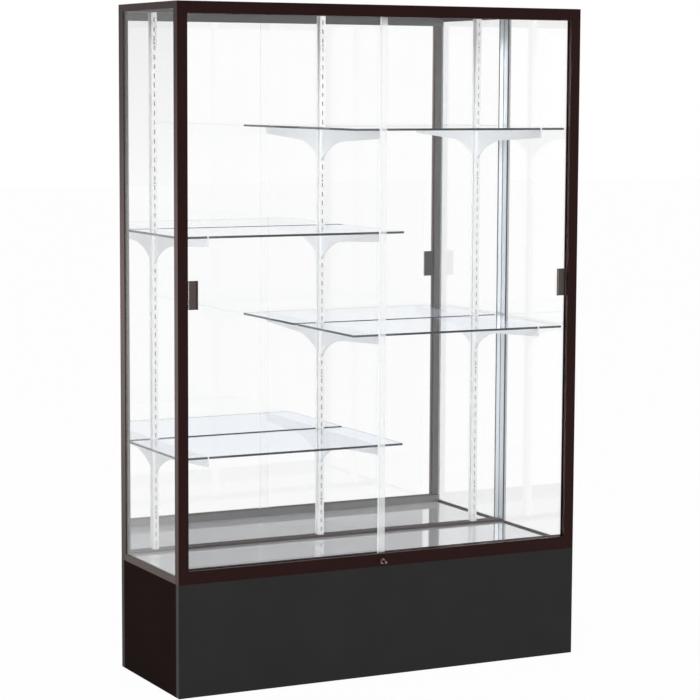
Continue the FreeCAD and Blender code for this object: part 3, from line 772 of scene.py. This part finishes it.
def shelf_edges(shelf):
    """The ground and polished edge all round one shelf, a skin over the glass."""
    low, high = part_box(shelf)
    middle = (low.z + high.z) / 2
    corners = [(low.x, low.y), (high.x, low.y), (high.x, high.y), (low.x, high.y)]
    loop = wire(shelf + "_edge_line", [(x, y, middle) for x, y in corners], closed_loop(4))
    shape = Shape("polished_edge", {
        "Skin": 2 * math.sqrt(2) * EDGE_SKIN,
        "Height": high.z - low.z - 2 * EDGE_SKIN,
    })
    line = shape.node("GeometryNodeMeshToCurve", {}, {0: shape.given})
    line = shape.node("GeometryNodeSetCurveNormal", {"mode": "Z_UP"}, {"Curve": line})
    section = shape.node(
        "GeometryNodeCurvePrimitiveQuadrilateral", {},
        {"Width": shape.size("Skin"), "Height": shape.size("Height")})
    skin = shape.node("GeometryNodeCurveToMesh", {}, {"Curve": line, "Profile Curve": section})
    shape.close(skin, FINISHES["shelf_edge"])
    piece = shape.make(shelf + "_edge", loop)
    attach(piece, shelf)


def side_gasket_lips(side):
    """The rolled gasket lips round one side glass, inside and outside the pane."""
    low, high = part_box(side + "_side_glass")
    y0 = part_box("front_left_post")[1].y
    y1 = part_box("rear_left_post")[0].y
    z0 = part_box("left_bottom_rail")[1].z
    z1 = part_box("left_top_rail")[0].z
    points = []
    edges = []
    for x in (low.x, high.x):
        start = len(points)
        points += [(x, y0, z0), (x, y1, z0), (x, y1, z1), (x, y0, z1)]
        edges += [(start + first, start + second) for first, second in closed_loop(4)]
    shape = Shape("gasket_lip", {"Radius": BEAD_RADIUS})
    line = shape.node("GeometryNodeMeshToCurve", {}, {0: shape.given})
    section = shape.node("GeometryNodeCurvePrimitiveCircle", {}, {
        "Resolution": BEAD_SIDES, "Radius": shape.size("Radius")})
    lip = shape.node("GeometryNodeCurveToMesh", {}, {"Curve": line, "Profile Curve": section})
    shape.close(lip, FINISHES["gasket_rubber"])
    piece = shape.make(side + "_gasket_lips", wire(side + "_lip_line", points, edges))
    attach(piece, "case")


def cross_screws(name, node, places, turn, sizes, length):
    """Countersunk screws with a cross recess, their heads flush at the given places."""
    head_radius, head_depth, shank_radius = sizes
    shape = Shape("cross_screw", {
        "Head Radius": head_radius,
        "Head Depth": head_depth,
        "Shank Radius": shank_radius,
        "Shank Length": length - head_depth,
        "Recess Length": head_radius * RECESS_LENGTH,
        "Recess Width": head_radius * RECESS_WIDTH,
        "Recess Depth": head_depth * RECESS_DEPTH,
        "Thread Pitch": THREAD_PITCH,
    })
    head = shape.node("GeometryNodeMeshCone", {}, {
        "Vertices": HEAD_SIDES,
        "Radius Top": shape.size("Shank Radius"),
        "Radius Bottom": shape.size("Head Radius"),
        "Depth": shape.size("Head Depth"),
    })
    bars = []
    for across in (("Recess Length", "Recess Width"), ("Recess Width", "Recess Length")):
        size = shape.vector(shape.size(across[0]), shape.size(across[1]), shape.size("Recess Depth"))
        bars.append(shape.node("GeometryNodeMeshCube", {}, {"Size": size}))
    head = shape.cut(head, bars)
    shank = shape.node("GeometryNodeMeshCylinder", {}, {
        "Vertices": SHANK_SIDES,
        "Radius": shape.size("Shank Radius") * SHANK_CORE,
        "Depth": shape.size("Shank Length"),
    })
    middle = shape.size("Head Depth") + shape.size("Shank Length") * 0.5
    shank = shape.move(shank, shape.vector(0.0, 0.0, middle))
    coil = shape.node("GeometryNodeCurveSpiral", {}, {
        "Resolution": THREAD_STEPS,
        "Rotations": shape.size("Shank Length") / shape.size("Thread Pitch"),
        "Start Radius": shape.size("Shank Radius") * THREAD_RADIUS,
        "End Radius": shape.size("Shank Radius") * THREAD_RADIUS,
        "Height": shape.size("Shank Length") * THREAD_LENGTH,
    })
    ridge = shape.node("GeometryNodeCurvePrimitiveCircle", {}, {
        "Resolution": THREAD_SIDES, "Radius": shape.size("Shank Radius") * THREAD_RIDGE})
    thread = shape.node("GeometryNodeCurveToMesh", {}, {
        "Curve": coil, "Profile Curve": ridge, "Fill Caps": True})
    start = shape.size("Head Depth") + shape.size("Shank Length") * THREAD_START
    thread = shape.move(thread, shape.vector(0.0, 0.0, start))
    screw = shape.join(head, shank, thread)
    set_out = shape.node("GeometryNodeInstanceOnPoints", {}, {
        "Points": shape.given, "Instance": screw, "Rotation": turn})
    spin = shape.node("FunctionNodeRandomValue", {"data_type": "FLOAT"}, {
        2: 0.0, 3: QUARTER_TURN, "Seed": SCREW_SEED}, 1)
    spun = shape.node("GeometryNodeRotateInstances", {}, {
        "Instances": set_out, "Rotation": shape.vector(0.0, 0.0, spin), "Local Space": True})
    shape.close(spun, FINISHES["bright_steel"])
    piece = shape.make(name, wire(name + "_places", places))
    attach(piece, "case")
    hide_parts(node)


def standard_middle(name):
    low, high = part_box(name + "_standard")
    return (low.x + high.x) / 2


def all_screws():
    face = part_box("centre_standard")[0].y
    middles = [standard_middle(name) for name in ("left", "centre", "right")]
    places = [(x, face, z * MM) for x in middles for z in STANDARD_SCREW_HEIGHTS]
    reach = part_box("standard_screws")[1].y - face
    cross_screws("standard_cross_screws", "standard_screws", places, TO_REAR, STANDARD_SCREW, reach)
    low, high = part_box("corner_screws")
    sides = (-CORNER_SCREW_X, CORNER_SCREW_X)
    places = [(x * MM, high.y, z * MM) for x in sides for z in CORNER_SCREW_HEIGHTS]
    cross_screws("corner_cross_screws", "corner_screws", places, TO_FRONT, CORNER_SCREW, high.y - low.y)
    low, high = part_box("deck_screws")
    places = [(x * MM, y * MM, low.z) for x in DECK_SCREW_X for y in DECK_SCREW_Y]
    cross_screws("deck_cross_screws", "deck_screws", places, UPWARD, DECK_SCREW, high.z - low.z)


# Bars and strips

def bar(name, start_ring, end_ring, finish, body):
    """A closed bar between two rings of points that run anticlockwise, seen from the end."""
    count = len(start_ring)
    points = start_ring + end_ring
    faces = [(first, second, second + count, first + count) for first, second in closed_loop(count)]
    faces.append(tuple(reversed(range(count))))
    faces.append(tuple(range(count, 2 * count)))
    mesh = bpy.data.meshes.new(name)
    mesh.from_pydata(points, [], faces)
    mesh.materials.append(finish)
    piece = new_object(name, mesh)
    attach(piece, body)
    return piece


def upright_bar(name, outline, z0, z1, finish, body):
    """A bar that stands between two heights, on an outline seen from above."""
    bottom = [(x, y, z0) for x, y in outline]
    top = [(x, y, z1) for x, y in outline]
    return bar(name, bottom, top, finish, body)


def deck_trims():
    """Low sloping trims that cover the joint between the deck and the side rails."""
    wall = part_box("right_bottom_rail")[0].x - HAIR_GAP
    z0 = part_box("deck_panel")[1].z + HAIR_GAP
    z1 = z0 + DECK_TRIM_HEIGHT
    y0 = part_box("front_bottom_rail")[1].y + HAIR_GAP
    y1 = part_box("rear_bottom_rail")[0].y - HAIR_GAP
    for name, side in (("left", -1), ("right", 1)):
        inner = wall - DECK_TRIM_WIDTH
        outline = [(inner, z0), (wall, z0), (wall, z1), (inner, z0 + DECK_TRIM_LIP)]
        if side < 0:
            outline.reverse()
        rear = [(side * x, y1, z) for x, z in outline]
        front = [(side * x, y0, z) for x, z in outline]
        bar(name + "_deck_trim", rear, front, FINISHES["deck_trim"], "case")


def door_edge(door, side):
    """The polished meeting edge of a door; side is -1 for its left edge and 1 for its right."""
    low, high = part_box(door + "_glass")
    face = (low.x if side < 0 else high.x) + side * HAIR_GAP
    out = face + side * EDGE_SKIN
    y0 = low.y
    y1 = high.y
    outline = [(face, y0), (out, y0 + EDGE_ARRIS), (out, y1 - EDGE_ARRIS), (face, y1)]
    if side < 0:
        outline.reverse()
    finish = FINISHES["door_edge"]
    upright_bar(door + "_meeting_edge", outline, low.z, high.z, finish, door)


def lap_strip():
    """The frosted strip stuck on the front door where the two doors lap."""
    low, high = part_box("right_door_glass")
    lap_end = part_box("left_door_glass")[1].x
    x0 = low.x + FILM_INSET
    x1 = lap_end - FILM_INSET
    y0 = high.y + HAIR_GAP
    y1 = y0 + FILM_THICKNESS
    z0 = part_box("front_bottom_rail")[1].z
    z1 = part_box("front_top_rail")[0].z
    arris = FILM_THICKNESS / 2
    outline = [(x0, y0), (x1, y0), (x1, y1 - arris), (x1 - arris, y1), (x0 + arris, y1), (x0, y1 - arris)]
    upright_bar("door_lap_strip", outline, z0, z1, FINISHES["lap_film"], "right_door")


def mirror_sheet():
    """The mirror: a clear sheet with ground arrises, and the silver on its back."""
    low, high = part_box("mirror_panel")
    back = high.y - SILVER_THICKNESS
    pane_back = back - HAIR_GAP
    pane = [
        (low.x + EDGE_ARRIS, low.y), (high.x - EDGE_ARRIS, low.y), (high.x, low.y + EDGE_ARRIS),
        (high.x, pane_back), (low.x, pane_back), (low.x, low.y + EDGE_ARRIS),
    ]
    piece = upright_bar("mirror_sheet", pane, low.z, high.z, FINISHES["clear_glass"], "case")
    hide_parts("mirror_panel")
    silver = [(low.x, back), (high.x, back), (high.x, high.y), (low.x, high.y)]
    upright_bar("mirror_silver", silver, low.z, high.z, FINISHES["silvered_glass"], "case")


def mirror_stop():
    """The stop that holds the mirror's left side, sloping back towards its post."""
    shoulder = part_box("rear_left_post")[1].x + CHANNEL_WALL + 2 * HAIR_GAP
    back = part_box("mirror_panel")[0].y - HAIR_GAP
    z0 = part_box("rear_bottom_rail")[1].z
    z1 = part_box("rear_top_rail")[0].z
    inner = shoulder + STOP_WIDTH
    foot = inner - STOP_SLOPE_WIDTH
    outline = [
        (shoulder, back), (shoulder, back - STOP_FOOT), (foot, back - STOP_FOOT),
        (inner, back - STOP_CREST), (inner, back),
    ]
    upright_bar("left_mirror_stop", outline, z0, z1, FINISHES["mirror_stop"], "case")


def mirror_channels():
    """Bright channels that line the rear posts beside the mirror."""
    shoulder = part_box("rear_right_post")[0].x
    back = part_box("mirror_panel")[0].y
    front = back - CHANNEL_DEPTH
    z0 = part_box("rear_bottom_rail")[1].z
    z1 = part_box("rear_top_rail")[0].z
    for name, side in (("left", -1), ("right", 1)):
        wall = side * (shoulder - HAIR_GAP)
        lined = wall - side * CHANNEL_WALL
        outline = [(wall, back), (lined, back), (lined, front + CHANNEL_WALL), (wall, front)]
        if side < 0:
            outline.reverse()
        finish = FINISHES["silver_channel"]
        upright_bar(name + "_mirror_channel", outline, z0, z1, finish, "case")


# Light, floor and camera

def make_camera():
    azimuth = math.radians(CAMERA_AZIMUTH)
    elevation = math.radians(CAMERA_ELEVATION)
    roll = math.radians(CAMERA_ROLL)
    back = Vector((
        math.sin(azimuth) * math.cos(elevation),
        -math.cos(azimuth) * math.cos(elevation),
        math.sin(elevation),
    ))
    right = Vector((0.0, 0.0, 1.0)).cross(back).normalized()
    up = back.cross(right)
    turned_right = right * math.cos(roll) + up * math.sin(roll)
    turned_up = up * math.cos(roll) - right * math.sin(roll)
    lens = bpy.data.cameras.new("camera")
    lens.sensor_fit = "HORIZONTAL"
    lens.sensor_width = SENSOR_WIDTH
    lens.lens = CAMERA_LENS
    camera = bpy.data.objects.new("camera", lens)
    bpy.context.scene.collection.objects.link(camera)
    turn = Matrix((turned_right, turned_up, back)).transposed().to_4x4()
    camera.matrix_world = Matrix.Translation(CAMERA_PLACE) @ turn
    bpy.context.scene.camera = camera


def seen_rays(sheet):
    """1 for what the camera sees, straight or by way of gloss and glass, and 0 for soft light."""
    path = sheet.node("ShaderNodeLightPath")
    shiny = path.sibling("Is Glossy Ray").larger(path.sibling("Is Transmission Ray"))
    return shiny.larger(path.sibling("Is Camera Ray"))


def make_sky():
    world = bpy.data.worlds.new("white_studio")
    world.use_nodes = True
    sheet = NodeSheet(world.node_tree)
    way = sheet.node("ShaderNodeTexCoord", output="Generated")
    x = sheet.node("ShaderNodeSeparateXYZ", {}, {0: way}, "X")
    y = x.sibling("Y")
    z = x.sibling("Z")
    above_front = (0.0 - y).rise(*FRONT_FADE) * z.rise(*FRONT_LIFT_FADE)
    rear_left = (0.0 - x).rise(*LEFT_FADE) * y.rise(*REAR_FADE) * z.rise(*REAR_LIFT_FADE)
    studio = 1.0 - above_front * DIM_FRONT - rear_left * DIM_REAR_LEFT
    seen = seen_rays(sheet)
    strength = seen * studio + (1.0 - seen) * SKY_ON_SURFACES
    sky = sheet.node("ShaderNodeBackground", {}, {"Color": WHITE, "Strength": strength})
    sheet.node("ShaderNodeOutputWorld", {}, {"Surface": sky})
    bpy.context.scene.world = world


def make_floor():
    reach = FLOOR_SIZE / 2
    corners = [(-reach, -reach, 0.0), (reach, -reach, 0.0), (reach, reach, 0.0), (-reach, reach, 0.0)]
    mesh = bpy.data.meshes.new("floor")
    mesh.from_pydata(corners, [], [(0, 1, 2, 3)])
    finish = Finish("white_floor")
    paint = finish.node("ShaderNodeBsdfDiffuse", {}, {"Color": FLOOR_PAINT})
    white = finish.node("ShaderNodeEmission", {}, {"Color": WHITE, "Strength": 1.0})
    mesh.materials.append(finish.close(finish.mix(seen_rays(finish) * FLOOR_WHITE_SHARE, paint, white)))
    new_object("floor", mesh)


def make_reflector():
    """A white board at the right of the case that only gloss and glass show."""
    y0, y1 = REFLECTOR_Y
    corners = [(y0, 0.0), (y1, 0.0), (y1, REFLECTOR_HEIGHT), (y0, REFLECTOR_HEIGHT)]
    mesh = bpy.data.meshes.new("white_reflector")
    mesh.from_pydata([(REFLECTOR_X, y, z) for y, z in corners], [], [(0, 1, 2, 3)])
    finish = Finish("white_reflector")
    white = finish.node("ShaderNodeEmission", {}, {"Color": WHITE, "Strength": 1.0})
    mesh.materials.append(finish.close(white))
    board = new_object("white_reflector", mesh)
    board.visible_camera = False
    board.visible_diffuse = False
    board.visible_shadow = False


def make_lamp(name, place, target, size, watts):
    lamp = bpy.data.lights.new(name, "AREA")
    lamp.size = size
    lamp.energy = watts
    made = bpy.data.objects.new(name, lamp)
    bpy.context.scene.collection.objects.link(made)
    aim = Vector(target) - Vector(place)
    made.matrix_world = Matrix.Translation(place) @ aim.to_track_quat("-Z", "Y").to_matrix().to_4x4()
    return made


def make_case_lamp():
    """A slim soft light behind the front top rail, which lights the inside and isn't seen itself."""
    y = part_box("left_door_glass")[1].y + CASE_LAMP_SETBACK
    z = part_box("front_top_rail")[0].z - CASE_LAMP_DROP
    strip = make_lamp("case_lamp", (0.0, y, z), (0.0, y + 1.0, z), CASE_LAMP_LENGTH, CASE_LAMP_WATTS)
    strip.data.shape = "RECTANGLE"
    strip.data.size_y = CASE_LAMP_WIDTH
    strip.visible_camera = False
    strip.visible_glossy = False
    strip.visible_transmission = False


def make_studio():
    make_camera()
    make_sky()
    make_floor()
    make_reflector()
    make_lamp("key_lamp", KEY_LAMP_PLACE, KEY_LAMP_TARGET, KEY_LAMP_SIZE, KEY_LAMP_WATTS)
    make_lamp("rear_left_lamp", REAR_LAMP_PLACE, REAR_LAMP_TARGET, REAR_LAMP_SIZE, REAR_LAMP_WATTS)
    make_case_lamp()
    scene = bpy.context.scene
    scene.view_settings.view_transform = "Standard"
    scene.cycles.max_bounces = PANE_BOUNCES
    scene.cycles.transmission_bounces = PANE_BOUNCES
    scene.cycles.transparent_max_bounces = PANE_BOUNCES
    scene.cycles.glossy_bounces = MIRROR_BOUNCES


def build():
    make_studio()
    dress_nodes()
    for shelf in SHELVES:
        shelf_edges(shelf)
    for side in ("left", "right"):
        side_gasket_lips(side)
    all_screws()
    door_edge("right_door", -1)
    door_edge("left_door", 1)
    lap_strip()
    mirror_sheet()
    mirror_stop()
    mirror_channels()
    deck_trims()


build()
